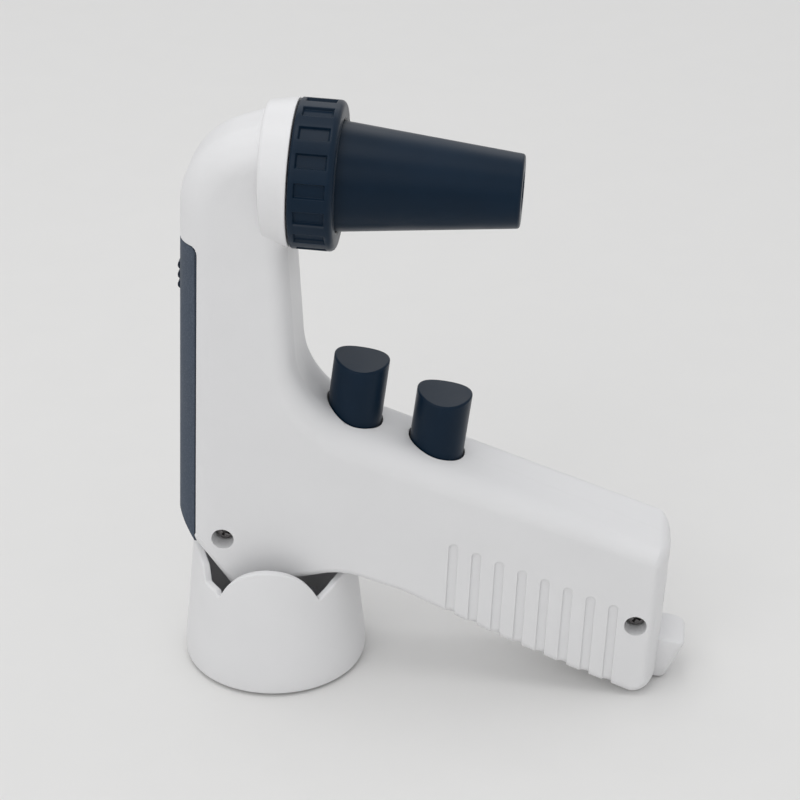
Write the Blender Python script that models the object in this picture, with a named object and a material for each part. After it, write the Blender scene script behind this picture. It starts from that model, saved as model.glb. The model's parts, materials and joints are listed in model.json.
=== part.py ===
"""Motorised pipette controller standing in its cup, as an assembly of separate closed solids.

Lengths are in millimetres until solid() turns them into metres. The controller is drawn in its own
frame: spine vertical, nose level along +X, thickness along Y, the middle plane at y = 0. One empty
leans that frame back onto the cup, whose axis is the world Z axis.
"""
import bisect
import math

import bmesh
import bpy

# ------------------------------------------------------------------ driving dimensions (mm)
LEAN = math.radians(2.159)          # how far the controller leans in the cup
HALF = 13.0                         # half thickness of the housing
GAP = 0.3                           # clearance between neighbouring pieces
SIDE_WALL = 2.2                     # wall of the two large side faces
BACK_X = -25.5                      # back of the spine
NOSE_Z = 140.65                     # height of the nose axis
FRONT_X = 1.7                       # front face that the nose mount passes through

CHAMFER_X, CHAMFER_Z, CHAMFER_SLOPE = -20.0, 38.3, -1.376   # cut below the spine
TOP_X, TOP_Z, TOP_SLOPE = 25.25, 73.2, -0.342               # upper edge of the grip
END_X, END_Z, END_SLOPE = 102.5, 40.0, 0.012                # end face of the grip
END_CROWN = 12.5                                            # how far its crowning reaches from the seam

PANEL_T, PANEL_TOP, PANEL_WRAP = 1.2, 123.8, 64.0           # back panel: thickness, top, wrap angle
SPINE_R = 9.0                                               # side rounding of the spine
SLIDER_Z, SLIDER_TRAVEL = 111.45, 2.0                       # middle of the slider, travel each way
KNOB_HALF, KNOB_HALF_Y = 3.75, 3.0                          # half length and half width of its knob

RING_REAR_R, RING_FRONT_R, RING_BORE = 17.4, 18.4, 13.6     # white ring behind the collar
RING_REAR_X, RING_FRONT_X, RING_SLANT, RING_ROUND = -4.9, 2.1, 0.04, 1.0
SPIGOT_R = RING_BORE - GAP                                  # the ring slips over the front of the shells
MOUNT_NECK_R = 7.6                                          # nose mount where it passes the front wall

COLLAR_R, COLLAR_REAR, COLLAR_LENGTH, COLLAR_BORE = 18.5, 2.4, 11.0, 15.3
POCKETS, POCKET_DEPTH, POCKET_HALF_DEG = 16, 0.8, 5.0
TIP_X, TIP_R, TIP_BORE = 57.7, 9.1, 4.8                     # nose cone

BUTTON_R, BUTTON_HOLE_R, BUTTON_TILT = 7.1, 7.5, math.radians(5.0)
BUTTON_TOPS = {"aspirate": (20.25, 90.9), "dispense": (41.65, 83.15)}
DISH, EDGE_ROUND = 1.3, 0.6
PRESS = 5.0                                                 # travel of a button

GROOVES, GROOVE_X, GROOVE_TOP, GROOVE_PITCH = 8, 47.0, 45.85, 6.03
GROOVE_DROP, GROOVE_W, GROOVE_DEPTH = -0.332, 2.4, 0.5
SCREWS = {"neck": (-12.9, 40.8), "grip": (95.3, 25.9)}
BORE_R, HOLE_R, BOSS_R, SHOULDER_Y = 2.9, 1.6, 4.6, 6.6

FLAP_LOW, FLAP_HIGH, FLAP_HALF_Y, FLAP_T = 29.2, 41.2, 6.0, 1.4
FLAP_EASE = 0.4                                             # corners taken off at its two ends
SOCKET_X, SOCKET_Z, SOCKET_HALF_Y, SOCKET_HALF_Z = 100.5, 35.0, 4.5, 1.8
HOOK = [(0.0, 107.9, 6.1), (0.35, 108.5, 6.4), (1.4, 108.8, 6.4), (3.2, 108.3, 6.2), (7.6, 106.9, 5.3),
        (12.0, 105.4, 4.3), (13.9, 104.7, 3.8)]             # drop below the top, front x, half width
HOOK_TOP, HOOK_FALL, HOOK_FADE = 18.3, 0.17, 3.2            # height, its fall per mm outward, and how deep
HOOK_EASE_X, HOOK_EASE_Y = 2.2, 2.0                         # front corners taken off in plan

CUP_FLOOR, CUP_WALL, FOOT_R = 4.4, 2.0, 21.6
CUP_OUTSIDE = [(0.0, 24.0), (5.0, 24.0), (14.5, 23.0), (22.0, 22.3), (37.0, 20.9)]   # height, radius
PETAL_AT, PETAL_TOP, PETAL_R = 86.0, 36.6, 14.3             # side petals of the rim
RIM_AWAY = [(0.0, 32.0), (27.0, 29.8), (33.0, 29.4), (41.0, 28.0), (47.6, 26.9)]     # rim under the grip
RIM_BACK = [(126.0, 27.9), (137.0, 28.8), (143.0, 34.3), (155.0, 36.0), (180.0, 36.3)]

MM = 0.001


# ------------------------------------------------------------------ scene and mesh helpers
for old in list(bpy.data.objects):
    bpy.data.objects.remove(old, do_unlink=True)

device = bpy.data.objects.new("device_frame", None)
bpy.context.scene.collection.objects.link(device)
device.rotation_euler = (0.0, LEAN, 0.0)


def material(name, color, rough=0.5, metal=0.0):
    made = bpy.data.materials.new(name)
    made.use_nodes = True
    shader = made.node_tree.nodes["Principled BSDF"]
    shader.inputs["Base Color"].default_value = (*color, 1.0)
    shader.inputs["Roughness"].default_value = rough
    shader.inputs["Metallic"].default_value = metal
    made.diffuse_color = (*color, 1.0)
    return made


WHITE = (0.80, 0.81, 0.83)
NAVY = (0.012, 0.022, 0.040)
SLATE = (0.060, 0.080, 0.105)
STEEL = (0.55, 0.56, 0.58)
PCB_GREEN = (0.02, 0.16, 0.07)
NYLON = (0.30, 0.32, 0.36)
BLACK = (0.03, 0.03, 0.03)
MILKY = (0.55, 0.58, 0.60)
SILICONE = (0.22, 0.25, 0.28)
FILTER_WHITE = (0.75, 0.78, 0.80)
WRAP_BLUE = (0.03, 0.07, 0.20)


def solid(name, mesh_parts, color=None, at=(0, 0, 0), turn=(0, 0, 0), rough=0.5, metal=0.0,
          parent=device):
    """A closed mesh object. Without a colour it is a hidden cutter."""
    points, faces = mesh_parts
    mesh = bpy.data.meshes.new(name)
    work = bmesh.new()
    made = [work.verts.new([c * MM for c in p]) for p in points]
    for face in faces:
        work.faces.new([made[i] for i in face])
    bmesh.ops.recalc_face_normals(work, faces=work.faces)
    if work.calc_volume(signed=True) < 0:
        bmesh.ops.reverse_faces(work, faces=work.faces)
    work.to_mesh(mesh)
    work.free()
    obj = bpy.data.objects.new(name, mesh)
    bpy.context.scene.collection.objects.link(obj)
    obj.parent = parent
    obj.location = [c * MM for c in at]
    obj.rotation_euler = turn
    if color is None:
        obj.hide_render = True
        obj.display_type = "WIRE"
    else:
        mesh.materials.append(material(name, color, rough, metal))
    return obj


def boolean(obj, tool, operation="DIFFERENCE"):
    modifier = obj.modifiers.new(f"{operation.lower()}_{tool.name}", "BOOLEAN")
    modifier.operation = operation
    modifier.solver = "EXACT"
    modifier.object = tool


def tube_of(rows, cap_ends=True):
    """Rows of equally many points, joined in turn, with both end rows closed by one face."""
    n = len(rows[0])
    points = [p for row in rows for p in row]
    faces = []
    for k in range(len(rows) - 1):
        for i in range(n):
            j = (i + 1) % n
            faces.append((k * n + i, k * n + j, (k + 1) * n + j, (k + 1) * n + i))
    if cap_ends:
        faces.append(tuple(range(n)))
        faces.append(tuple((len(rows) - 1) * n + i for i in range(n)))
    else:
        last = (len(rows) - 1) * n
        for i in range(n):
            j = (i + 1) % n
            faces.append((last + i, last + j, j, i))
    return points, faces


def circle_angles(n):
    return [2 * math.pi * i / n for i in range(n)]


def lathe(profile, n=32, angles=None, shape=None, ring=True):
    """Revolve (radius, height) rows about local Z. ring joins the last row to the first;
    otherwise both end rows are closed by a flat face. shape may change a row's point."""
    rows = []
    for k, (r, z) in enumerate(profile):
        row = []
        for a in angles or circle_angles(n):
            rr, zz = shape(k, a, r, z) if shape else (r, z)
            row.append((rr * math.cos(a), rr * math.sin(a), zz))
        rows.append(row)
    return tube_of(rows, cap_ends=not ring)


def box(x0, x1, y0, y1, z0, z1):
    rows = [[(x0, y0, z), (x1, y0, z), (x1, y1, z), (x0, y1, z)] for z in (z0, z1)]
    return tube_of(rows)


def rounded_box(length, width, height, r, steps=3):
    """Box centred on the origin, its four edges along X rounded."""
    outline = []
    for cy, cz, start in ((1, 1, 0), (-1, 1, 90), (-1, -1, 180), (1, -1, 270)):
        for s in range(steps + 1):
            a = math.radians(start + 90 * s / steps)
            outline.append((cy * (width / 2 - r) + r * math.cos(a),
                            cz * (height / 2 - r) + r * math.sin(a)))
    return tube_of([[(x, y, z) for y, z in outline] for x in (-length / 2, length / 2)])


def prism(outline, y0, y1):
    return tube_of([[(x, y, z) for x, z in outline] for y in (y0, y1)])


def hose(path, outer, inner, bend=5.0, around=10, steps=4):
    """Open tube along a path in the middle plane, its corners rounded."""
    line = [path[0]]
    for before, corner, after in zip(path, path[1:], path[2:]):
        u = unit(before[0] - corner[0], before[1] - corner[1])
        v = unit(after[0] - corner[0], after[1] - corner[1])
        half = math.acos(max(-1.0, min(1.0, u[0] * v[0] + u[1] * v[1]))) / 2
        reach = bend / math.tan(half)
        mid = unit(u[0] + v[0], u[1] + v[1])
        cx, cz = (corner[i] + mid[i] * bend / math.sin(half) for i in (0, 1))
        a0 = math.atan2(corner[1] + u[1] * reach - cz, corner[0] + u[0] * reach - cx)
        a1 = math.atan2(corner[1] + v[1] * reach - cz, corner[0] + v[0] * reach - cx)
        sweep = (a1 - a0 + math.pi) % (2 * math.pi) - math.pi
        line += [(cx + bend * math.cos(a0 + sweep * s / steps),
                  cz + bend * math.sin(a0 + sweep * s / steps)) for s in range(steps + 1)]
    line.append(path[-1])
    rows = {outer: [], inner: []}
    for k, (x, z) in enumerate(line):
        a, b = line[max(k - 1, 0)], line[min(k + 1, len(line) - 1)]
        t = unit(b[0] - a[0], b[1] - a[1])
        for r, kept in rows.items():
            kept.append([(x - t[1] * r * math.cos(w), r * math.sin(w), z + t[0] * r * math.cos(w))
                         for w in circle_angles(around)])
    return tube_of(rows[outer] + rows[inner][::-1], cap_ends=False)


def coil(radius, wire, base, length, turns, around=5, per_turn=10):
    rows = []
    steps = int(turns * per_turn)
    for s in range(steps + 1):
        a = 2 * math.pi * turns * s / steps
        z = base + wire + (length - 2 * wire) * s / steps
        rows.append([((radius + wire * math.cos(w)) * math.cos(a),
                      (radius + wire * math.cos(w)) * math.sin(a), z + wire * math.sin(w))
                     for w in circle_angles(around)])
    return tube_of(rows)


def unit(x, z):
    size = math.hypot(x, z)
    return x / size, z / size


def along(table, value):
    """Straight-line reading of a rising table of (value, result)."""
    keys = [k for k, _ in table]
    i = max(1, min(len(table) - 1, bisect.bisect_left(keys, value)))
    (a, fa), (b, fb) = table[i - 1], table[i]
    return fa + (fb - fa) * (value - a) / (b - a)


# ------------------------------------------------------------------ housing outline
def chamfer_z(x):
    return CHAMFER_Z + CHAMFER_SLOPE * (x - CHAMFER_X)


def top_z(x):
    return TOP_Z + TOP_SLOPE * (x - TOP_X)


def end_x(z):
    return END_X + END_SLOPE * (z - END_Z)


def side_edge(wall, near, far=None, crown=None):
    """An edge of the outline: its wall, its side rounding at both ends, and how far that reaches in."""
    return {"wall": wall, "near": near, "far": far or near, "crown": crown}


UNDER = side_edge(2.0, 2.5)
END = side_edge(3.0, 4.0, crown=END_CROWN)
TOP = side_edge(2.0, 4.0, far=8.0)           # sharper at the end of the grip than at the neck
INNER = side_edge(2.0, 5.0)
HEAD = side_edge(4.5, 8.5)
ELBOW = side_edge(4.2, 8.5)
SPINE = side_edge(3.2, SPINE_R)

# Corners anticlockwise: x, z, corner radius, arc steps, and the edge that leaves the corner.
CORNERS = [
    (-9.6, chamfer_z(-9.6) + 0.9, 3.0, 2, UNDER),
    (4.0, 29.3, 18.0, 2, UNDER),
    (18.2, 33.5, 18.0, 3, UNDER),
    (34.0, 29.3, 20.0, 2, UNDER),
    (60.4, 17.75, 60.0, 2, UNDER),
    (79.5, 10.15, 60.0, 2, UNDER),
    (end_x(1.98), 1.98, 5.0, 4, END),
    (end_x(top_z(102.3)), top_z(102.3), 4.5, 4, TOP),
    (5.35, top_z(5.35), 22.0, 6, INNER),
    (FRONT_X, 122.3, 1.0, 1, INNER),
    (FRONT_X, 154.3, 0.6, 1, HEAD),
    (-6.6, 154.3, 1.0, 1, ELBOW),
    (BACK_X, 147.35, 20.5, 7, SPINE),
    (BACK_X, chamfer_z(BACK_X), 1.5, 2, UNDER),
]
SMALLEST_ARC = 0.3


def offset_outline(offset):
    """Points of the outline moved inward by offset(edge, which end), always the same count and order."""
    n = len(CORNERS)
    out = []
    for i, (x, z, radius, steps, edge) in enumerate(CORNERS):
        px, pz = CORNERS[i - 1][:2]
        nx, nz = CORNERS[(i + 1) % n][:2]
        into, leave = unit(x - px, z - pz), unit(nx - x, nz - z)
        d0, d1 = offset(CORNERS[i - 1][4], "far"), offset(edge, "near")
        turn = into[0] * leave[1] - into[1] * leave[0]
        # The moved lines meet at the corner plus a mix of the two edge directions.
        vx, vz = x + (d0 * leave[0] - d1 * into[0]) / turn, z + (d0 * leave[1] - d1 * into[1]) / turn
        bend = math.atan2(turn, into[0] * leave[0] + into[1] * leave[1])
        arc = max(radius - math.copysign((d0 + d1) / 2, turn), SMALLEST_ARC)
        reach = arc * math.tan(abs(bend) / 2)
        side = math.copysign(1.0, turn)
        sx, sz = vx - into[0] * reach, vz - into[1] * reach
        cx, cz = sx - into[1] * arc * side, sz + into[0] * arc * side
        for s in range(steps + 1):
            a = bend * s / steps
            rx, rz = sx - cx, sz - cz
            out.append((cx + rx * math.cos(a) - rz * math.sin(a),
                        cz + rx * math.sin(a) + rz * math.cos(a)))
    return out


def edge_reach():
    """How far the side rounding reaches in from the side at every outline point."""
    out = []
    for i, (_, _, _, steps, edge) in enumerate(CORNERS):
        before = CORNERS[i - 1][4]
        r0, r1 = before["crown"] or before["far"], edge["crown"] or edge["near"]
        out += [r0 + (r1 - r0) * s / steps for s in range(steps + 1)]
    return out


def outside(edge, end):
    return 0.0


def inner_edge(edge, end):
    return max(edge[end], edge["wall"] + 0.4)


def half_shell(side):
    """One hollow half: outside, rounded edge, side face, then the same again for the cavity."""
    outer = offset_outline(outside)
    outer_flat = offset_outline(lambda edge, end: edge[end])
    inner = offset_outline(lambda edge, end: edge["wall"])
    inner_flat = offset_outline(inner_edge)
    reaches = edge_reach()
    seam, deep = GAP / 2, HALF - SIDE_WALL

    def row(start, flat, levels):
        return [(p[0] + (q[0] - p[0]) * f, side * y, p[1] + (q[1] - p[1]) * f)
                for p, q, (f, y) in zip(start, flat, levels)]

    rows = [row(outer, outer_flat, [(0.0, seam)] * len(outer))]
    for a in (0, 30, 60, 90):
        c, s = math.cos(math.radians(a)), math.sin(math.radians(a))
        rows.append(row(outer, outer_flat, [(1 - c, HALF - r + r * s) for r in reaches]))
    inside = [row(inner, inner_flat, [(0.0, seam)] * len(inner))]
    for a in (0, 30, 60, 90):
        c, s = math.cos(math.radians(a)), math.sin(math.radians(a))
        levels = []
        for r in reaches:
            start = min(max(HALF - r, seam + 0.5), deep - 0.4)
            levels.append((1 - c, start + (deep - start) * s))
        inside.append(row(inner, inner_flat, levels))
    # One tube: side face to seam on the outside, then seam to side face in the cavity.
    return tube_of(rows[::-1] + inside)


# ------------------------------------------------------------------ back panel and its slider
def panel(outer_r, inner_r, wrap, high, drop):
    """U-shaped plate round the spine, its lower end on the chamfer plane."""
    axis_x, flat = BACK_X + SPINE_R, HALF - SPINE_R
    stations = [(-1, wrap * k / 4) for k in (4, 3, 2, 1, 0)] + [(1, wrap * k / 4) for k in range(5)]
    rows = []
    for side, degrees in stations:
        a = math.radians(degrees)
        row = []
        for r in (outer_r, inner_r):
            x, y = axis_x - r * math.cos(a), side * (flat + r * math.sin(a))
            low = chamfer_z(x) - drop
            row += [(x, y, low), (x, y, high)] if r == outer_r else [(x, y, high), (x, y, low)]
        rows.append(row)
    return tube_of(rows)


back_panel = solid("back_panel", panel(SPINE_R, SPINE_R - PANEL_T, PANEL_WRAP, PANEL_TOP, -0.15), SLATE)
panel_seat = solid("panel_seat_cutter",
                   panel(SPINE_R + 3, SPINE_R - PANEL_T - GAP, PANEL_WRAP + 2.2, PANEL_TOP + GAP, 4.0))
slot_reach, slot_half_y = KNOB_HALF + SLIDER_TRAVEL + GAP, KNOB_HALF_Y + GAP
slider_slot = solid("slider_slot_cutter", box(-28, -21.6, -slot_half_y, slot_half_y,
                                              SLIDER_Z - slot_reach, SLIDER_Z + slot_reach))
boolean(back_panel, slider_slot)

knob, plate, rib_x, plate_half = -25.2, -21.9, -26.3, 8.5     # knob face, plate, rib crests, half length
ribs = []
for centre in (2.7, 0.0, -2.7):
    ribs += [(knob, centre + 0.75), (rib_x, centre + 0.45), (rib_x, centre - 0.45), (knob, centre - 0.75)]
slider_outline = ([(plate + 1.0, -plate_half), (plate + 1.0, plate_half), (plate, plate_half),
                   (plate, KNOB_HALF), (knob, KNOB_HALF)] + ribs
                  + [(knob, -KNOB_HALF), (plate, -KNOB_HALF), (plate, -plate_half)])
solid("speed_slider", prism([(x - plate, z) for x, z in slider_outline], -KNOB_HALF_Y, KNOB_HALF_Y), NAVY,
      at=(plate, 0, SLIDER_Z))

# ------------------------------------------------------------------ shells
NOSE_TURN = (0.0, math.radians(90), 0.0)     # local Z to the nose direction, local -X to up
NOSE_AT = (0.0, 0.0, NOSE_Z)


def slanted(rear_rows):
    """Shift of the rear rows onto the slanted plane: local +X points down, where it comes forward."""
    return lambda k, a, r, z: (r, z + RING_SLANT * r * math.cos(a)) if k in rear_rows else (r, z)


EASE = 0.4
solid("head_ring", lathe([(RING_REAR_R - RING_ROUND, RING_REAR_X),
                          (RING_REAR_R - 0.3 * RING_ROUND, RING_REAR_X + 0.3 * RING_ROUND),
                          (RING_REAR_R, RING_REAR_X + RING_ROUND),
                          (RING_FRONT_R, RING_FRONT_X - EASE), (RING_FRONT_R - EASE, RING_FRONT_X),
                          (RING_BORE, RING_FRONT_X), (RING_BORE, RING_REAR_X)], 48,
                         shape=slanted((0, 1, 2, 6))), WHITE, at=NOSE_AT, turn=NOSE_TURN)
ring_seat = solid("ring_seat_cutter",
                  lathe([(RING_REAR_R + EASE, RING_REAR_X - GAP), (RING_FRONT_R + EASE, RING_FRONT_X - EASE),
                         (RING_FRONT_R + EASE, RING_FRONT_X + 2), (SPIGOT_R, RING_FRONT_X + 2),
                         (SPIGOT_R, RING_REAR_X - GAP)], 48,
                        shape=slanted((0, 4))), at=NOSE_AT, turn=NOSE_TURN)
mount_hole = solid("mount_hole_cutter",
                   lathe([(MOUNT_NECK_R + GAP, -2.5), (MOUNT_NECK_R + GAP, 4.0)], 32, ring=False),
                   at=NOSE_AT, turn=NOSE_TURN)
flap_x = end_x(SOCKET_Z)
flap_seat = solid("flap_seat_cutter",
                  box(flap_x - FLAP_T - GAP, flap_x + 4, -FLAP_HALF_Y - GAP, FLAP_HALF_Y + GAP,
                      FLAP_LOW - GAP, FLAP_HIGH + GAP))
socket_hole = solid("socket_hole_cutter",
                    box(96, 104, -SOCKET_HALF_Y - GAP, SOCKET_HALF_Y + GAP,
                        SOCKET_Z - SOCKET_HALF_Z - GAP, SOCKET_Z + SOCKET_HALF_Z + GAP))


def underside_z(x):
    """Lowest housing height at x, in the housing's own frame."""
    line = sorted(p for p in offset_outline(outside) if p[1] < 47 and p[0] < END_X - 0.5)
    return along(line, x)


def groove(x, top, side):
    """Cutter of one finger groove: round top, running out over the lower edge."""
    low, r, flat = underside_z(x), GROOVE_W / 2, HALF - GROOVE_DEPTH
    levels = [(low - 2, r, flat - 2.2), (low + 0.5, r, flat - 2.0), (low + 1.1, r, flat - 0.6),
              (low + 2.5, r, flat)]
    levels += [(top - r + r * math.sin(math.radians(a)), r * math.cos(math.radians(a)), flat)
               for a in (0, 30, 60, 85)]
    rows = [[(x - w, side * y, z), (x + w, side * y, z), (x + w, side * (HALF + 1), z),
             (x - w, side * (HALF + 1), z)] for z, w, y in levels]
    return tube_of(rows)


def button_base(name):
    """Where a button's axis crosses the grip's upper edge."""
    x, z = BUTTON_TOPS[name]
    run = (z - top_z(x)) / (math.cos(BUTTON_TILT) - TOP_SLOPE * math.sin(BUTTON_TILT))
    return x - run * math.sin(BUTTON_TILT), z - run * math.cos(BUTTON_TILT), run


button_holes = []
for name in BUTTON_TOPS:
    bx, bz, rise = button_base(name)
    button_holes.append(solid(f"{name}_hole_cutter", lathe([(BUTTON_HOLE_R, -8), (BUTTON_HOLE_R, 8)],
                                                           32, ring=False),
                              at=(bx, 0, bz), turn=(0, BUTTON_TILT, 0)))

ALONG_Y = (math.radians(-90), 0.0, 0.0)      # local Z to +Y
for side, shell_name in ((-1, "right_shell"), (1, "left_shell")):
    shell = solid(shell_name, half_shell(side), WHITE)
    for name, (sx, sz) in SCREWS.items():
        ends = sorted((side * GAP / 2, side * (HALF - 1)))
        boss = solid(f"{shell_name}_{name}_boss", lathe([(BOSS_R, ends[0]), (BOSS_R, ends[1])], 20,
                                                        ring=False), at=(sx, 0, sz), turn=ALONG_Y)
        boolean(shell, boss, "UNION")
    for name, (sx, sz) in SCREWS.items():
        if side < 0:
            rows = [(BORE_R, -HALF - 1), (BORE_R, -SHOULDER_Y), (HOLE_R, -SHOULDER_Y), (HOLE_R, 1)]
        else:
            rows = [(HOLE_R, -1), (HOLE_R, 9)]
        boolean(shell, solid(f"{shell_name}_{name}_bore", lathe(rows, 20, ring=False),
                             at=(sx, 0, sz), turn=ALONG_Y))
    for tool in (panel_seat, ring_seat, mount_hole, slider_slot, flap_seat, socket_hole, *button_holes):
        boolean(shell, tool)
    for k in range(GROOVES):
        gx = GROOVE_X + GROOVE_PITCH * k
        top = GROOVE_TOP + GROOVE_DROP * (gx - GROOVE_X)
        boolean(shell, solid(f"{shell_name}_groove_{k}", groove(gx, top, side)))

# ------------------------------------------------------------------ screws
cross = box(-1.3, 1.3, -0.3, 0.3, -9.2, -8.0)
for name, (sx, sz) in SCREWS.items():
    screw = solid(f"{name}_screw", lathe([(0.9, 7.4), (1.25, 7.0), (1.25, -SHOULDER_Y - GAP),
                                          (2.55, -SHOULDER_Y - GAP), (2.55, -8.5), (2.1, -8.9)],
                                         16, ring=False),
                  STEEL, at=(sx, 0, sz), turn=ALONG_Y, rough=0.3, metal=1.0)
    for angle in (25, 115):                  # two arms of the cross recess
        boolean(screw, solid(f"{name}_recess_{angle}", cross, at=(sx, 0, sz),
                             turn=(math.radians(-90), math.radians(angle), 0)))

# ------------------------------------------------------------------ grip end: flap, socket, hook
def crown(y):
    """How far the end face has dropped back at distance y from the middle plane."""
    reach = max(abs(y) - (HALF - END_CROWN), 0.0) / END_CROWN
    return END["near"] * (1 - math.sqrt(1 - reach * reach))


def across(half, count):
    """Evenly spaced y from one side to the other."""
    return [half * (2 * k / (count - 1) - 1) for k in range(count)]


# The origin is on the hinge line, the outer upper edge.
flap_plan = [(-FLAP_T, FLAP_HALF_Y - 1), (-FLAP_T, 1 - FLAP_HALF_Y)]
flap_plan += [(-crown(y), y) for y in across(FLAP_HALF_Y, 9)]
flap_length = FLAP_HIGH - FLAP_LOW
solid("port_flap", tube_of([[(x, y * (1 - ease / FLAP_HALF_Y), z) for x, y in flap_plan]
                            for z, ease in ((-flap_length, FLAP_EASE), (FLAP_EASE - flap_length, 0.0),
                                            (-FLAP_EASE, 0.0), (0.0, FLAP_EASE))]),
      WHITE, at=(flap_x, 0, FLAP_HIGH))


def rectangle(x, inset=0.0):
    y, z = SOCKET_HALF_Y - inset, SOCKET_HALF_Z - inset
    return [(x, -y, -z), (x, y, -z), (x, y, z), (x, -y, z)]


solid("charge_socket", tube_of([rectangle(-9), rectangle(0), rectangle(0, 0.5), rectangle(-6, 0.5)]),
      STEEL, at=(SOCKET_X, 0, SOCKET_Z), rough=0.35, metal=1.0)

hook_root = end_x(HOOK_TOP - HOOK[-1][0] / 2) + GAP
rows = []
for drop, front, w in HOOK:
    plan = [(hook_root - crown(y), y) for y in across(-w, 5)]
    plan += [(front - HOOK_EASE_X, -w), (front, HOOK_EASE_Y - w), (front, w - HOOK_EASE_Y),
             (front - HOOK_EASE_X, w)]
    fall = HOOK_FALL * max(1 - drop / HOOK_FADE, 0.0)
    rows.append([(x, y, HOOK_TOP - drop - fall * (x - END_X)) for x, y in plan])
solid("grip_hook", tube_of(rows), WHITE)

# ------------------------------------------------------------------ nose: mount, filter, cone, nut
crest, root = 14.9, 14.4
solid("nose_mount", lathe(
    [(0.7, -9.5), (1.3, -9.5), (1.3, -3.2), (8.8, -3.2), (8.8, -0.7), (MOUNT_NECK_R, -0.7),
     (MOUNT_NECK_R, 2.5), (root, 2.5), (root, 3.4), (crest, 3.8), (root, 4.2), (root, 5.4),
     (crest, 5.8), (root, 6.2), (root, 7.2), (crest, 7.6), (root, 8.0), (root, 8.6), (12.2, 8.6),
     (12.2, 4.1), (2.4, 4.1), (2.4, -1.0), (0.7, -1.0)], 28), NAVY, at=NOSE_AT, turn=NOSE_TURN)
torus_r, torus_w = 8.0, 0.7
solid("filter_oring", lathe([(torus_r + torus_w * math.cos(a), 5.15 + torus_w * math.sin(a))
                             for a in circle_angles(8)], 28), BLACK,
      at=NOSE_AT, turn=NOSE_TURN)
solid("membrane_filter", lathe([(0.8, 0.8), (1.9, 0.8), (1.9, 6.2), (11.8, 6.2), (11.8, 8.9),
                                (2.2, 8.9), (2.2, 12.6), (0.8, 12.6)], 28), FILTER_WHITE,
      at=NOSE_AT, turn=NOSE_TURN)
solid("pipette_adapter", lathe([(2.9, 9.3), (10.9, 9.3), (10.9, 14.5), (6.3, 46.0), (4.9, 47.5),
                                (4.3, 47.5), (3.3, 38.0), (3.3, 30.0), (2.9, 24.0)], 28),
      SILICONE, at=NOSE_AT, turn=NOSE_TURN)
solid("nose_cone", lathe([(11.3, 9.3), (14.9, 9.3), (14.9, 11.1), (13.6, 11.1), (13.55, 13.4),
                          (TIP_R + 0.08, TIP_X - 0.8), (TIP_R - 0.2, TIP_X - 0.2),
                          (TIP_R - 0.9, TIP_X), (TIP_BORE + 0.4, TIP_X), (TIP_BORE, TIP_X - 0.5),
                          (TIP_BORE, 50.5), (6.6, 48.5), (11.3, 14.8)], 40), NAVY,
      at=NOSE_AT, turn=NOSE_TURN)


def collar():
    """Nut with a closed grip pocket at every pitch; the walls of a pocket slope a little."""
    x = COLLAR_REAR
    end = x + COLLAR_LENGTH
    rows = [(COLLAR_R - 0.6, x), (COLLAR_R, x + 0.6), (COLLAR_R, x + 1.4), (COLLAR_R, x + 1.8),
            (COLLAR_R, end - 2.2), (COLLAR_R, end - 1.8), (COLLAR_R, end - 1.2), (COLLAR_R - 1.0, end - 0.2),
            (COLLAR_R - 1.6, end), (13.9, end), (13.9, end - 2.0), (COLLAR_BORE, end - 2.0),
            (COLLAR_BORE, x + 0.5), (COLLAR_BORE + 0.4, x)]
    pitch = 360 / POCKETS
    angles, sunk = [], set()
    for k in range(POCKETS):
        for degrees in (-POCKET_HALF_DEG - 1, -POCKET_HALF_DEG, POCKET_HALF_DEG, POCKET_HALF_DEG + 1):
            a = math.radians((k + 0.5) * pitch + degrees)
            angles.append(a)
            if abs(degrees) == POCKET_HALF_DEG:
                sunk.add(a)
    return lathe(rows, angles=angles,
                 shape=lambda k, a, r, z: (r - POCKET_DEPTH if k in (3, 4) and a in sunk else r, z))


solid("collar_nut", collar(), NAVY, at=NOSE_AT, turn=NOSE_TURN)


# ------------------------------------------------------------------ buttons, plungers, springs, valves
FLANGE_TOP, FLANGE_T, FLANGE_R = -4.4, 1.6, 8.5
VALVE_TOP, VALVE_LOW, PLUNGER_LOW = -13.6, -27.0, -19.0
SPRING_LIFT = 0.65                           # coil above the valve, clear of it when pressed down


def button(rise):
    """Round cap with a trough-shaped top across the grip, and a wider flange below the housing."""
    n = 32
    angles = [math.pi * (i + 0.5) * 2 / n for i in range(n)]

    def top(x):
        return rise - DISH * (1 - (x / BUTTON_R) ** 2)

    rows = []
    for r, z in ((FLANGE_R, FLANGE_TOP - FLANGE_T), (FLANGE_R, FLANGE_TOP), (BUTTON_R, FLANGE_TOP)):
        rows.append([(r * math.cos(a), r * math.sin(a), z) for a in angles])
    for inset, drop in ((0.0, EDGE_ROUND), (0.18, 0.18), (EDGE_ROUND, 0.0)):
        r = BUTTON_R - inset
        rows.append([(r * math.cos(a), r * math.sin(a), top(r * math.cos(a)) - drop) for a in angles])
    points, faces = tube_of(rows)
    faces.pop()                               # the trough takes strips across it, not one face
    last = (len(rows) - 1) * n
    for i in range(n // 2 - 1):
        faces.append((last + i, last + i + 1, last + n - 2 - i, last + n - 1 - i))
    return points, faces


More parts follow.
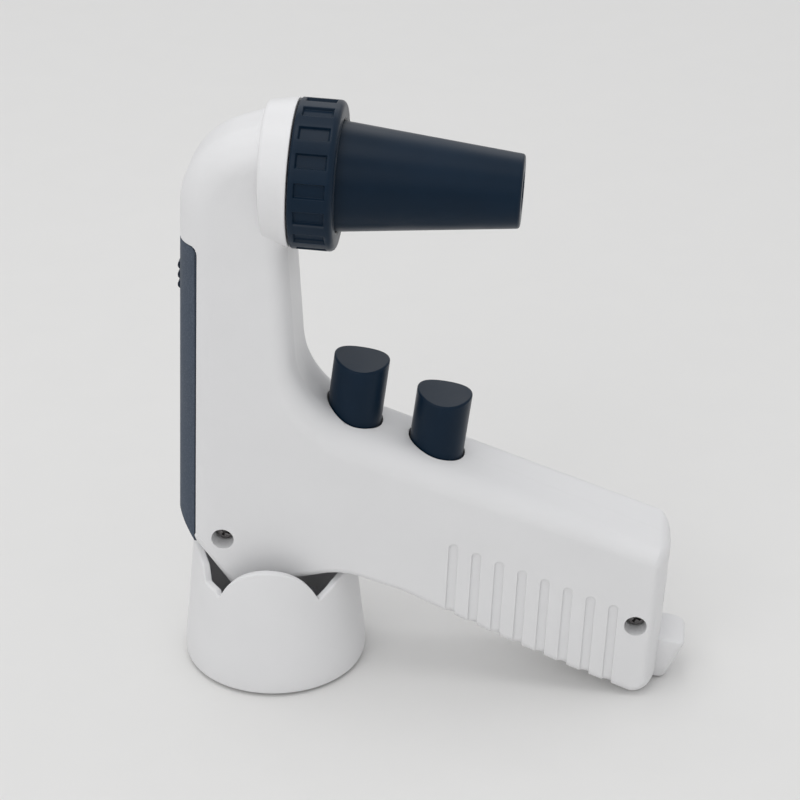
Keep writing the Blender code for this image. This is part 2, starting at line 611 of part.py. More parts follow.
for name in BUTTON_TOPS:
    bx, bz, rise = button_base(name)
    frame = dict(at=(bx, 0, bz), turn=(0, BUTTON_TILT, 0))
    solid(f"{name}_button", button(rise + DISH / 2), NAVY, **frame)
    low = FLANGE_TOP - FLANGE_T - GAP
    solid(f"{name}_plunger", lathe([(1.0, PLUNGER_LOW), (1.6, PLUNGER_LOW + 0.6), (1.6, low - 1.2),
                                    (2.6, low - 1.2), (2.6, low)], 14, ring=False), STEEL,
          rough=0.3, metal=1.0, **frame)
    spring_low = VALVE_TOP + SPRING_LIFT
    solid(f"{name}_spring", coil(3.9, 0.35, spring_low, low - spring_low, 3.5), STEEL,
          rough=0.3, metal=1.0, **frame)
    valve = solid(f"{name}_valve", box(-6, 6, -4.5, 4.5, VALVE_LOW, VALVE_TOP), NYLON, **frame)
    boolean(valve, solid(f"{name}_valve_bore", lathe([(2.0, PLUNGER_LOW - PRESS - 0.8), (2.0, 0)], 14,
                                                     ring=False), **frame))
    solid(f"{name}_switch", box(-3, 3, 5.0, 9.4, VALVE_LOW + 4, FLANGE_TOP - FLANGE_T - PRESS - 0.4),
          BLACK, **frame)

# ------------------------------------------------------------------ inside the grip and the spine
plate_turn = math.atan(-TOP_SLOPE)
solid("valve_manifold", rounded_box(44, 16, 3, 1.0), NYLON, at=(26.5, 0, 40.6),
      turn=(0, plate_turn, 0))
solid("battery_pack", rounded_box(38, 18, 17, 3.0), WRAP_BLUE, at=(70, 0, 36.5),
      turn=(0, plate_turn, 0))
solid("control_board", box(-20.4, -19.0, -7.5, 7.5, 94, 122), PCB_GREEN)

MOTOR_X, MOTOR_R, MOTOR_LOW, MOTOR_HIGH, CAM_Z = -12.5, 8.0, 58.0, 80.0, 88.75
solid("pump_motor", lathe([(7.2, MOTOR_LOW), (MOTOR_R, MOTOR_LOW + 0.8), (MOTOR_R, MOTOR_HIGH - 0.8),
                           (7.2, MOTOR_HIGH), (1.4, MOTOR_HIGH), (1.4, MOTOR_HIGH - 8), (0.5, MOTOR_HIGH - 8),
                           (0.5, MOTOR_LOW)], 24), STEEL, at=(MOTOR_X, 0, 0), rough=0.35, metal=1.0)
solid("motor_shaft", lathe([(1.0, MOTOR_HIGH - 7.6 - CAM_Z), (1.0, 5.0)], 12, ring=False), STEEL,
      at=(MOTOR_X, 0, CAM_Z), rough=0.3, metal=1.0)
throw, cam_r = 1.2, 4.2
cam = solid("eccentric_cam", lathe([(cam_r, -1.75), (cam_r, 1.75)], 24, ring=False),
            NYLON, at=(MOTOR_X, 0, CAM_Z))
for vertex in cam.data.vertices:             # the disc sits off the shaft by its throw
    vertex.co.x += throw * MM
boolean(cam, solid("cam_bore", lathe([(1.3, -3), (1.3, 3)], 12, ring=False), at=(MOTOR_X, 0, CAM_Z)))
solid("diaphragm", lathe([(2.0, 0), (2.0, 1.0), (7.5, 1.0), (7.5, 2.2), (0.6, 2.2), (0.6, 0)], 24),
      BLACK, at=(MOTOR_X + throw + cam_r + 0.4, 0, CAM_Z), turn=(0, math.radians(90), 0))
solid("pump_head", rounded_box(5.4, 15.6, 16.5, 1.5), NYLON, at=(-1.4, 0, CAM_Z))
solid("nose_hose", hose([(-2.4, 97.4), (-2.4, 111), (-14.6, 124), (-14.6, NOSE_Z), (-3.7, NOSE_Z)],
                        2.4, 1.65), MILKY)
solid("pump_hose", hose([(-1.4, 80.1), (-1.4, 55.4), (10.6, 55.4)], 2.0, 1.2), MILKY)


# ------------------------------------------------------------------ stand
def rim_height(degrees):
    """Height of the rim at an azimuth, the same on both sides of the middle plane."""
    d = abs(degrees)
    if d <= RIM_AWAY[-1][0]:
        return along(RIM_AWAY, d)
    if d >= RIM_BACK[0][0]:
        return along(RIM_BACK, d)
    arc = math.radians(d - PETAL_AT) * along(CUP_OUTSIDE, 30.0)
    return max(PETAL_TOP - PETAL_R + math.sqrt(max(PETAL_R ** 2 - arc ** 2, 0.0)), RIM_AWAY[-1][1])


def housing_low(x):
    """Lowest housing height in the world at a world x, next to the cup."""
    z = 32.0
    for _ in range(4):                       # the lean mixes x and z a little
        own_x = x * math.cos(LEAN) - z * math.sin(LEAN)
        own_z = underside_z(own_x) if own_x > -9 else max(chamfer_z(own_x), underside_z(-9))
        z = -own_x * math.sin(LEAN) + own_z * math.cos(LEAN)
    return z


def clear_rim(degrees, outside_r):
    """Rim height kept clear of the housing wherever the rim passes under it."""
    wanted = rim_height(degrees)
    a = math.radians(degrees)
    for r in (outside_r + 0.3, outside_r - CUP_WALL - 0.3):
        if abs(r * math.sin(a)) < HALF + 0.6:
            wanted = min(wanted, housing_low(r * math.cos(a)) - 0.5)
    return wanted


def cup():
    marks = sorted({d * 5.0 for d in range(-35, 37)} | {s * d for s in (-1, 1) for d in (47.6, 126.0)})
    columns = []
    for degrees in marks:
        a = math.radians(degrees)
        top = clear_rim(degrees, along(CUP_OUTSIDE, rim_height(degrees)))
        heights = [1.4, 5.0, 14.5, 22.0, 22.0 + (top - 22.0) * 0.6, top - 0.35]
        column = [(22.0, 2.3), (22.0, 0.8), (23.4, 0.8)]
        column += [(along(CUP_OUTSIDE, z), z) for z in heights]
        rim = along(CUP_OUTSIDE, top)
        column += [(rim - 0.35, top), (rim - CUP_WALL + 0.35, top), (rim - CUP_WALL, top - 0.35)]
        column += [(along(CUP_OUTSIDE, z) - CUP_WALL, z) for z in (22.0, 14.5, CUP_FLOOR + 1.5)]
        column += [(along(CUP_OUTSIDE, CUP_FLOOR) - CUP_WALL - 1.5, CUP_FLOOR)]
        columns.append([(r * math.cos(a), r * math.sin(a), z) for r, z in column])
    return tube_of([list(row) for row in zip(*columns)])


solid("stand_cup", cup(), WHITE, parent=None)
solid("stand_foot", lathe([(FOOT_R - 0.3, 0), (FOOT_R, 0.3), (FOOT_R, 2.0)], 48, ring=False),
      BLACK, parent=None, rough=0.8)
solid("stand_ballast", lathe([(17.0, CUP_FLOOR + GAP), (17.0, CUP_FLOOR + 5)], 36, ring=False), STEEL,
      parent=None, rough=0.35, metal=1.0)
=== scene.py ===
"""Looks for the pipette controller in its stand: fine meshes, procedural materials, camera and light.

Lengths are in millimetres until raw() turns them into metres. The controller is drawn in its own
frame (spine vertical, nose along +X, middle plane y = 0) and LEANED puts it on the stand.
"""

import bisect
import json
import math

import bmesh
import bpy
from mathutils import Matrix, Vector


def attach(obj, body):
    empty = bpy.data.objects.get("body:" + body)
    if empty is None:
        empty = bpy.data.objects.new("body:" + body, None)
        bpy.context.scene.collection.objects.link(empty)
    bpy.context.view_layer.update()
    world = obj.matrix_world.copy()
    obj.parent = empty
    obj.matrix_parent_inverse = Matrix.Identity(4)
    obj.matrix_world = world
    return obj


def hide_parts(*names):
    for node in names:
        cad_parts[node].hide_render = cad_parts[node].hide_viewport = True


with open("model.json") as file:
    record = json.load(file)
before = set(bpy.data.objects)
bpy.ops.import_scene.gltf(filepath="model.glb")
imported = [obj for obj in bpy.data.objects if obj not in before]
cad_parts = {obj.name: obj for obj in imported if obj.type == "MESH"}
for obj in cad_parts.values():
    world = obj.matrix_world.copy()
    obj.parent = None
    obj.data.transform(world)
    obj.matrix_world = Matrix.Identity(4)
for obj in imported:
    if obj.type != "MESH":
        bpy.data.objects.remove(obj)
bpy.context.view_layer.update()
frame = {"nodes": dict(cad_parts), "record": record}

# ------------------------------------------------------------------ dimensions shared with the CAD (mm)
LEAN = math.radians(2.159)
HALF, GAP, SIDE_WALL = 13.0, 0.3, 2.2
BACK_X, NOSE_Z, FRONT_X = -25.5, 140.65, 1.7
CHAMFER_X, CHAMFER_Z, CHAMFER_SLOPE = -20.0, 38.3, -1.376
TOP_X, TOP_Z, TOP_SLOPE = 25.25, 73.2, -0.342
END_X, END_Z, END_SLOPE, END_CROWN = 102.5, 40.0, 0.012, 12.5
PANEL_T, PANEL_TOP, PANEL_WRAP, SPINE_R = 1.2, 123.8, 64.0, 9.0
SLIDER_Z, SLIDER_TRAVEL, KNOB_HALF, KNOB_HALF_Y = 111.45, 2.0, 3.75, 3.0
RING_REAR_R, RING_FRONT_R, RING_BORE = 17.4, 18.4, 13.6
RING_REAR_X, RING_FRONT_X, RING_SLANT, RING_ROUND = -4.9, 2.1, 0.04, 1.0
COLLAR_R, COLLAR_REAR, COLLAR_LENGTH, COLLAR_BORE = 18.5, 2.4, 11.0, 15.3
POCKETS, POCKET_DEPTH, POCKET_HALF_DEG = 16, 0.8, 5.0
TIP_X, TIP_R, TIP_BORE = 57.7, 9.1, 4.8
BUTTON_R, BUTTON_HOLE_R, BUTTON_TILT = 7.1, 7.5, math.radians(5.0)
BUTTON_TOPS = {"aspirate": (20.25, 90.9), "dispense": (41.65, 83.15)}
DISH, EDGE_ROUND = 1.3, 0.6
GROOVES, GROOVE_X, GROOVE_TOP, GROOVE_PITCH, GROOVE_DROP, GROOVE_W = 8, 47.0, 45.85, 6.03, -0.332, 2.4
SCREWS = {"neck": (-12.9, 40.8), "grip": (95.3, 25.9)}
BORE_R, HOLE_R, BOSS_R, SHOULDER_Y = 2.9, 1.6, 4.6, 6.6
FLAP_LOW, FLAP_HIGH, FLAP_HALF_Y, FLAP_T, SOCKET_Z = 29.2, 41.2, 6.0, 1.4, 35.0
MOUNT_HOLE_R = 7.9
CUP_FLOOR, CUP_WALL, FOOT_R = 4.4, 2.0, 21.6
CUP_OUTSIDE = [(0.0, 24.0), (5.0, 24.0), (14.5, 23.0), (22.0, 22.3), (37.0, 20.9)]
PETAL_AT, PETAL_TOP, PETAL_R = 86.0, 36.6, 14.3
RIM_AWAY = [(0.0, 32.0), (27.0, 29.8), (33.0, 29.4), (41.0, 28.0), (47.6, 26.9)]
RIM_BACK = [(126.0, 27.9), (137.0, 28.8), (143.0, 34.3), (155.0, 36.0), (180.0, 36.3)]

# ------------------------------------------------------------------ detail finer than the CAD (mm)
SEAM = 0.012             # half the closed joint between the two shells
NO_BEVEL = 0.1           # edges this near the middle plane stay sharp
PANEL_CORNER, PANEL_SEAM = 2.4, 0.15
FLAP_SEAM = 0.45
GROOVE_DEPTH, GROOVE_RUNOUT = 0.65, 2.0
SOCKET_HALF_Y, SOCKET_HALF_Z = 4.85, 2.15
HOOK_SUNK = 0.8          # the hook grows out of the end of the grip
MM = 0.001

LEANED = Matrix.Rotation(LEAN, 4, "Y")
NOSE = LEANED @ Matrix.Translation((0, 0, NOSE_Z)) @ Matrix.Rotation(math.radians(90), 4, "Y")
ALONG_Y = Matrix.Rotation(math.radians(-90), 4, "X")
STILL = Matrix.Identity(4)


# ------------------------------------------------------------------ materials
def node(tree, kind, **inputs):
    made = tree.nodes.new(kind)
    for key, value in inputs.items():
        made.inputs[key.replace("_", " ")].default_value = value
    return made


def finish(name, color, rough, vary=0.03, grain=2600.0, bump=0.03, speck=None, speck_scale=1500.0,
           metal=0.0, rough_vary=0.06, specular=0.5, rim_highlight=0.0, coat=0.0, sheen=0.0, brushed=0.0):
    """Moulded or machined surface: cloudy colour and gloss, fine grain, optional specks and a painted
    highlight on convex edges.
    """
    made = bpy.data.materials.new(name)
    made.use_nodes = True
    tree = made.node_tree
    link = tree.links.new
    shader = tree.nodes["Principled BSDF"]
    shader.inputs["Metallic"].default_value = metal
    shader.inputs["Specular IOR Level"].default_value = specular
    shader.inputs["Coat Weight"].default_value = coat
    shader.inputs["Sheen Weight"].default_value = sheen
    shader.inputs["Sheen Roughness"].default_value = 0.4
    place = tree.nodes.new("ShaderNodeTexCoord")
    where = place.outputs["Object"]
    if brushed:
        stretch = tree.nodes.new("ShaderNodeMapping")
        stretch.inputs["Scale"].default_value = (1.0, brushed, brushed)
        link(where, stretch.inputs["Vector"])
        where = stretch.outputs["Vector"]
    cloud = node(tree, "ShaderNodeTexNoise", Scale=60.0, Detail=4.0)
    link(place.outputs["Object"], cloud.inputs["Vector"])
    ramp = tree.nodes.new("ShaderNodeValToRGB")
    ramp.color_ramp.elements[0].position, ramp.color_ramp.elements[1].position = 0.3, 0.7
    ramp.color_ramp.elements[0].color = (*[c * (1 - vary) for c in color], 1)
    ramp.color_ramp.elements[1].color = (*[min(c * (1 + vary), 1) for c in color], 1)
    link(cloud.outputs["Fac"], ramp.inputs["Fac"])
    shade = ramp.outputs["Color"]
    grainy = node(tree, "ShaderNodeTexNoise", Scale=grain, Detail=2.0)
    link(where, grainy.inputs["Vector"])
    if speck:
        dots = node(tree, "ShaderNodeTexNoise", Scale=speck_scale, Detail=3.0, Roughness=0.7)
        link(place.outputs["Object"], dots.inputs["Vector"])
        mask = tree.nodes.new("ShaderNodeMapRange")
        for key, value in (("From Min", 0.46), ("From Max", 0.66)):
            mask.inputs[key].default_value = value
        link(dots.outputs["Fac"], mask.inputs["Value"])
        mix = tree.nodes.new("ShaderNodeMix")
        mix.data_type = "RGBA"
        mix.inputs["B"].default_value = (*speck, 1)
        link(mask.outputs["Result"], mix.inputs["Factor"])
        link(shade, mix.inputs["A"])
        shade = mix.outputs["Result"]
    # painted highlight: edges found by pointiness are lightened toward white, standing in for the light
    # caught on rims
    if rim_highlight:
        point = tree.nodes.new("ShaderNodeNewGeometry")
        edge = tree.nodes.new("ShaderNodeMapRange")
        for key, value in (("From Min", 0.52), ("From Max", 0.62), ("To Max", rim_highlight)):
            edge.inputs[key].default_value = value
        link(point.outputs["Pointiness"], edge.inputs["Value"])
        rim_highlight_mix = tree.nodes.new("ShaderNodeMix")
        rim_highlight_mix.data_type = "RGBA"
        rim_highlight_mix.inputs["B"].default_value = (*[c + (1 - c) * 0.05 for c in color], 1)
        link(edge.outputs["Result"], rim_highlight_mix.inputs["Factor"])
        link(shade, rim_highlight_mix.inputs["A"])
        shade = rim_highlight_mix.outputs["Result"]
    link(shade, shader.inputs["Base Color"])
    gloss = tree.nodes.new("ShaderNodeMapRange")
    for key, value in (("From Min", 0.3), ("From Max", 0.7), ("To Min", rough - rough_vary),
                       ("To Max", rough + rough_vary)):
        gloss.inputs[key].default_value = value
    link(cloud.outputs["Fac"], gloss.inputs["Value"])
    link(gloss.outputs["Result"], shader.inputs["Roughness"])
    relief = node(tree, "ShaderNodeBump", Strength=bump, Distance=0.0002)
    link(grainy.outputs["Fac"], relief.inputs["Height"])
    link(relief.outputs["Normal"], shader.inputs["Normal"])
    return made


LOOKS = {
    "white_plastic": finish("white_abs", (0.768, 0.768, 0.775), 0.40, vary=0.012, bump=0.05, specular=0.35),
    # navy plastic: the edge value 0.5 paints a highlight on its convex edges
    "navy_plastic": finish("navy_abs", (0.0018, 0.0125, 0.0290), 0.37, vary=0.12, bump=0.06, rim_highlight=0.5,
                           specular=0.15, sheen=0.06),
    "slate_panel": finish("slate_textured", (0.056, 0.073, 0.101), 0.62, vary=0.06, grain=1800.0,
                          bump=0.30, speck=(0.086, 0.108, 0.144), speck_scale=2400.0, specular=0.25),
    "steel": finish("turned_steel", (0.50, 0.50, 0.52), 0.32, metal=1.0, bump=0.08, brushed=6.0),
    "dark_steel": finish("blackened_steel", (0.21, 0.20, 0.20), 0.36, metal=1.0, bump=0.1, brushed=6.0),
    "black_rubber": finish("black_rubber", (0.018, 0.018, 0.019), 0.75, vary=0.15, bump=0.25),
    "silicone": finish("grey_silicone", (0.18, 0.20, 0.23), 0.55, vary=0.06, bump=0.08),
    "clear_hose": finish("milky_hose", (0.55, 0.58, 0.60), 0.35, vary=0.04, coat=0.3),
    "frame_plastic": finish("grey_nylon", (0.30, 0.32, 0.36), 0.55, vary=0.06, bump=0.12),
    "circuit_board": finish("solder_mask", (0.015, 0.13, 0.055), 0.30, vary=0.08, bump=0.2, grain=900.0,
                            speck=(0.03, 0.20, 0.09), speck_scale=500.0, coat=0.4),
    "battery_wrap": finish("shrink_wrap", (0.025, 0.06, 0.19), 0.30, vary=0.08, bump=0.15, grain=300.0,
                           coat=0.3),
    "filter_white": finish("filter_body", (0.72, 0.75, 0.77), 0.45, vary=0.03, bump=0.05),
    "switch_black": finish("switch_case", (0.02, 0.02, 0.022), 0.5, vary=0.12, bump=0.1),
}


# ------------------------------------------------------------------ mesh helpers
def raw(name, mesh_parts, place=LEANED):
    points, faces = mesh_parts
    mesh = bpy.data.meshes.new(name)
    work = bmesh.new()
    made = [work.verts.new((place @ Vector(p)) * MM) for p in points]
    for face in faces:
        work.faces.new([made[i] for i in face])
    bmesh.ops.recalc_face_normals(work, faces=work.faces)
    if work.calc_volume(signed=True) < 0:
        bmesh.ops.reverse_faces(work, faces=work.faces)
    work.to_mesh(mesh)
    work.free()
    obj = bpy.data.objects.new(name, mesh)
    bpy.context.scene.collection.objects.link(obj)
    return obj


def carve(obj, tools, operation="DIFFERENCE"):
    """Apply Booleans one after another; the callers throw the tools away."""
    for tool in tools:
        modifier = obj.modifiers.new("cut", "BOOLEAN")
        modifier.operation = operation
        modifier.solver = "EXACT"
        modifier.object = tool
    bake(obj)


def bake(obj):
    graph = bpy.context.evaluated_depsgraph_get()
    mesh = bpy.data.meshes.new_from_object(obj.evaluated_get(graph))
    obj.modifiers.clear()
    obj.data = mesh


def weigh_edges(obj, angle, seam):
    work = bmesh.new()
    work.from_mesh(obj.data)
    weight = work.edges.layers.float.new("bevel_weight_edge")
    for edge in work.edges:
        sharp = len(edge.link_faces) == 2 and edge.calc_face_angle() > angle
        edge[weight] = 1.0 if sharp and max(abs(v.co.y) for v in edge.verts) >= seam else 0.0
    work.to_mesh(obj.data)
    work.free()


def dress(obj, slot, body, nodes, bevel=0.0, segments=2, angle=32, smooth=38, seam=0.0,
          look=None):
    """Round the hard edges further than seam from the middle plane, shade smoothly, give the finish,
    and put the piece on its body."""
    mesh = obj.data
    mesh.materials.clear()
    mesh.materials.append(LOOKS[look or slot])
    for polygon in mesh.polygons:
        polygon.use_smooth = True
        polygon.material_index = 0
    if bevel:
        weigh_edges(obj, math.radians(angle), seam * MM)
        rounding = obj.modifiers.new("rounding", "BEVEL")
        rounding.width = bevel * MM
        rounding.segments = segments
        rounding.limit_method = "WEIGHT"
        rounding.use_clamp_overlap = False
        rounding.miter_outer = "MITER_ARC"
        bake(obj)
        obj.data.materials.clear()
        obj.data.materials.append(LOOKS[look or slot])
    obj.data.set_sharp_from_angle(angle=math.radians(smooth))
    even = obj.modifiers.new("even_shading", "WEIGHTED_NORMAL")
    even.keep_sharp = True
    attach(obj, body)
    if nodes:
        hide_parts(*nodes)
    return obj


def tube_of(rows, cap_ends=True):
    n = len(rows[0])
    points = [p for row in rows for p in row]
    faces = []
    for k in range(len(rows) - 1):
        for i in range(n):
            j = (i + 1) % n
            faces.append((k * n + i, k * n + j, (k + 1) * n + j, (k + 1) * n + i))
    last = (len(rows) - 1) * n
    if cap_ends:
        faces.append(tuple(range(n)))
        faces.append(tuple(last + i for i in range(n)))
    else:
        for i in range(n):
            j = (i + 1) % n
            faces.append((last + i, last + j, j, i))
    return points, faces


def circle_angles(n):
    return [2 * math.pi * i / n for i in range(n)]


def lathe(profile, n=96, angles=None, shape=None, ring=True):
    rows = []
    for k, (r, z) in enumerate(profile):
        row = []
        for a in angles or circle_angles(n):
            rr, zz = shape(k, a, r, z) if shape else (r, z)
            row.append((rr * math.cos(a), rr * math.sin(a), zz))
        rows.append(row)
    return tube_of(rows, cap_ends=not ring)


def box(x0, x1, y0, y1, z0, z1):
    return tube_of([[(x0, y0, z), (x1, y0, z), (x1, y1, z), (x0, y1, z)] for z in (z0, z1)])


def prism(outline, y0, y1):
    return tube_of([[(x, y, z) for x, z in outline] for y in (y0, y1)])


def unit(x, z):
    size = math.hypot(x, z)
    return x / size, z / size


def along(table, value):
    keys = [k for k, _ in table]
    i = max(1, min(len(table) - 1, bisect.bisect_left(keys, value)))
    (a, fa), (b, fb) = table[i - 1], table[i]
    return fa + (fb - fa) * (value - a) / (b - a)


# ------------------------------------------------------------------ housing outline
def chamfer_z(x):
    return CHAMFER_Z + CHAMFER_SLOPE * (x - CHAMFER_X)


def top_z(x):
    return TOP_Z + TOP_SLOPE * (x - TOP_X)


def end_x(z):
    return END_X + END_SLOPE * (z - END_Z)


def side_edge(wall, near, far=None, crown=None, step=0.0):
    return {"wall": wall, "near": near, "far": far or near, "crown": crown, "step": step}


UNDER = side_edge(2.0, 2.5)
END = side_edge(3.0, 4.0, crown=END_CROWN)
TOP = side_edge(2.0, 4.0, far=8.0)
INNER = side_edge(2.0, 5.0, step=0.35)
HEAD = side_edge(4.5, 8.5)
ELBOW = side_edge(4.2, 8.5)
SPINE = side_edge(3.2, SPINE_R)
CORNERS = [
    (-9.6, chamfer_z(-9.6) + 0.9, 3.0, 6, UNDER),
    (4.0, 29.3, 18.0, 8, UNDER),
    (18.2, 33.5, 18.0, 14, UNDER),
    (34.0, 29.3, 20.0, 6, UNDER),
    (60.4, 17.75, 60.0, 6, UNDER),
    (79.5, 10.15, 60.0, 6, UNDER),
    (end_x(1.98), 1.98, 5.0, 14, END),
    (end_x(top_z(102.3)), top_z(102.3), 4.5, 14, TOP),
    (5.35, top_z(5.35), 22.0, 24, INNER),
    (FRONT_X, 122.3, 1.0, 1, INNER),
    (FRONT_X, 154.3, 0.6, 1, HEAD),
    (-6.6, 154.3, 1.0, 1, ELBOW),
    (BACK_X, 147.35, 20.5, 28, SPINE),
    (BACK_X, chamfer_z(BACK_X), 1.5, 4, UNDER),
]
SMALLEST_ARC = 0.3


def offset_outline(offset):
    n = len(CORNERS)
    out = []
    for i, (x, z, radius, steps, edge) in enumerate(CORNERS):
        px, pz = CORNERS[i - 1][:2]
        nx, nz = CORNERS[(i + 1) % n][:2]
        into, leave = unit(x - px, z - pz), unit(nx - x, nz - z)
        d0, d1 = offset(CORNERS[i - 1][4], "far"), offset(edge, "near")
        turn = into[0] * leave[1] - into[1] * leave[0]
        vx, vz = x + (d0 * leave[0] - d1 * into[0]) / turn, z + (d0 * leave[1] - d1 * into[1]) / turn
        bend = math.atan2(turn, into[0] * leave[0] + into[1] * leave[1])
        arc = max(radius - math.copysign((d0 + d1) / 2, turn), SMALLEST_ARC)
        reach = arc * math.tan(abs(bend) / 2)
        side = math.copysign(1.0, turn)
        sx, sz = vx - into[0] * reach, vz - into[1] * reach
        cx, cz = sx - into[1] * arc * side, sz + into[0] * arc * side
        for s in range(steps + 1):
            a = bend * s / steps
            rx, rz = sx - cx, sz - cz
            out.append((cx + rx * math.cos(a) - rz * math.sin(a),
                        cz + rx * math.sin(a) + rz * math.cos(a)))
    return out


def blended(start, end):
    """One value per outline point, running from the edge before each corner to the edge after it."""
    out = []
    for i, (_, _, _, steps, edge) in enumerate(CORNERS):
        v0, v1 = start(CORNERS[i - 1][4]), end(edge)
        out += [v0 + (v1 - v0) * s / steps for s in range(steps + 1)]
    return out


def outside(_edge, _end):
    return 0.0


def half_shell(side, steps=12):
    outer = offset_outline(outside)
    outer_flat = offset_outline(lambda edge, end: edge[end])
    inner = offset_outline(lambda edge, end: edge["wall"])
    inner_flat = offset_outline(lambda edge, end: max(edge[end], edge["wall"] + 0.4))
    reaches = blended(lambda e: e["crown"] or e["far"], lambda e: e["crown"] or e["near"])
    step_at = blended(lambda e: e["step"], lambda e: e["step"])
    depth = blended(lambda e: e["far"], lambda e: e["near"])
    seam, deep = SEAM, HALF - SIDE_WALL

    def row(start, flat, levels):
        return [(p[0] + (q[0] - p[0]) * f, side * y, p[1] + (q[1] - p[1]) * f)
                for p, q, (f, y) in zip(start, flat, levels)]

    rows = [row(outer, outer_flat, [(0.0, seam)] * len(outer)),
            row(outer, outer_flat, [(0.0, seam + (HALF - r - seam) * 0.9) for r in reaches])]
    for s in range(steps + 1):
        a = math.pi / 2 * s / steps
        levels = []
        for r, lip, deepest in zip(reaches, step_at, depth):
            rise = 1 - math.cos(a)
            lip *= 1.0 if s else 0.0
            levels.append((rise + (1 - rise) * lip / deepest, HALF - r + r * math.sin(a)))
        rows.append(row(outer, outer_flat, levels))
    inside = [row(inner, inner_flat, [(0.0, seam)] * len(inner))]
    for s in range(4):
        a = math.pi / 2 * s / 3
        starts = [min(max(HALF - r, seam + 0.5), deep - 0.4) for r in reaches]
        inside.append(row(inner, inner_flat, [(1 - math.cos(a), y + (deep - y) * math.sin(a))
                                              for y in starts]))
    return tube_of(rows[::-1] + inside)


# ------------------------------------------------------------------ back panel, slider
def panel(outer_r, inner_r, wrap, high, drop, steps=16, corner=0.0):
    """U-shaped plate round the spine; corner rounds the two upper ends of the U."""
    axis_x, flat = BACK_X + SPINE_R, HALF - SPINE_R
    turns = [wrap * k / steps for k in range(steps + 1)]
    if corner:
        turns += [wrap - math.degrees(corner / outer_r) * (1 - math.sin(math.radians(a)))
                  for a in range(0, 90, 10)]
    turns = sorted(set(turns))
    rows = []
    for side, degrees in [(-1, t) for t in turns[::-1]] + [(1, t) for t in turns]:
        a = math.radians(degrees)
        into = max(corner - math.radians(wrap - degrees) * outer_r, 0.0)
        top = high - corner + math.sqrt(corner ** 2 - into ** 2)
        row = []
        for r in (outer_r, inner_r):
            x, y = axis_x - r * math.cos(a), side * (flat + r * math.sin(a))
            low = chamfer_z(x) - drop
            row += [(x, y, low), (x, y, top)] if r == outer_r else [(x, y, top), (x, y, low)]
        rows.append(row)
    return tube_of(rows)


def plate_outline(half_y, low, high, r, steps=8):
    out = []
    for cy, cz, start in ((1, 1, 0), (-1, 1, 90), (-1, -1, 180), (1, -1, 270)):
        for s in range(steps + 1):
            a = math.radians(start + 90 * s / steps)
            out.append((cy * (half_y - r) + r * math.cos(a),
                        (high + low) / 2 + cz * ((high - low) / 2 - r) + r * math.sin(a)))
    return out


SLOT_REACH, SLOT_HALF_Y = KNOB_HALF + SLIDER_TRAVEL + GAP, KNOB_HALF_Y + GAP


def slot_tool(name):
    return raw(name, box(-28, -21.6, -SLOT_HALF_Y, SLOT_HALF_Y, SLIDER_Z - SLOT_REACH,
                         SLIDER_Z + SLOT_REACH))


def slanted(rear_rows):
    return lambda k, a, r, z: (r, z + RING_SLANT * r * math.cos(a)) if k in rear_rows else (r, z)


def underside_z(x):
    return along(sorted(p for p in offset_outline(outside) if p[1] < 47 and p[0] < END_X - 0.5), x)


def groove(x, top, side):
    low, r, flat = underside_z(x), GROOVE_W / 2, HALF - GROOVE_DEPTH
    run = GROOVE_RUNOUT
    levels = [(low - 2, r, flat - run - 0.2), (low + 0.5, r, flat - run)]
    levels += [(low + 0.5 + run - run * math.cos(math.radians(a)), r,
                flat - run + run * math.sin(math.radians(a))) for a in (20, 40, 60, 80)]
    levels += [(low + 2.6, r, flat)]
    levels += [(top - r + r * math.sin(math.radians(a)), r * math.cos(math.radians(a)), flat)
               for a in (0, 12, 24, 36, 48, 60, 72, 84)]
    rows = [[(x - w, side * y, z), (x + w, side * y, z), (x + w, side * (HALF + 1), z),
             (x - w, side * (HALF + 1), z)] for z, w, y in levels]
    return tube_of(rows)


def button_base(name):
    x, z = BUTTON_TOPS[name]
    run = (z - top_z(x)) / (math.cos(BUTTON_TILT) - TOP_SLOPE * math.sin(BUTTON_TILT))
    return x - run * math.sin(BUTTON_TILT), z - run * math.cos(BUTTON_TILT), run


def button_place(name):
    bx, bz, _ = button_base(name)
    return LEANED @ Matrix.Translation((bx, 0, bz)) @ Matrix.Rotation(BUTTON_TILT, 4, "Y")


def screw_place(name):
    sx, sz = SCREWS[name]
    return LEANED @ Matrix.Translation((sx, 0, sz)) @ ALONG_Y


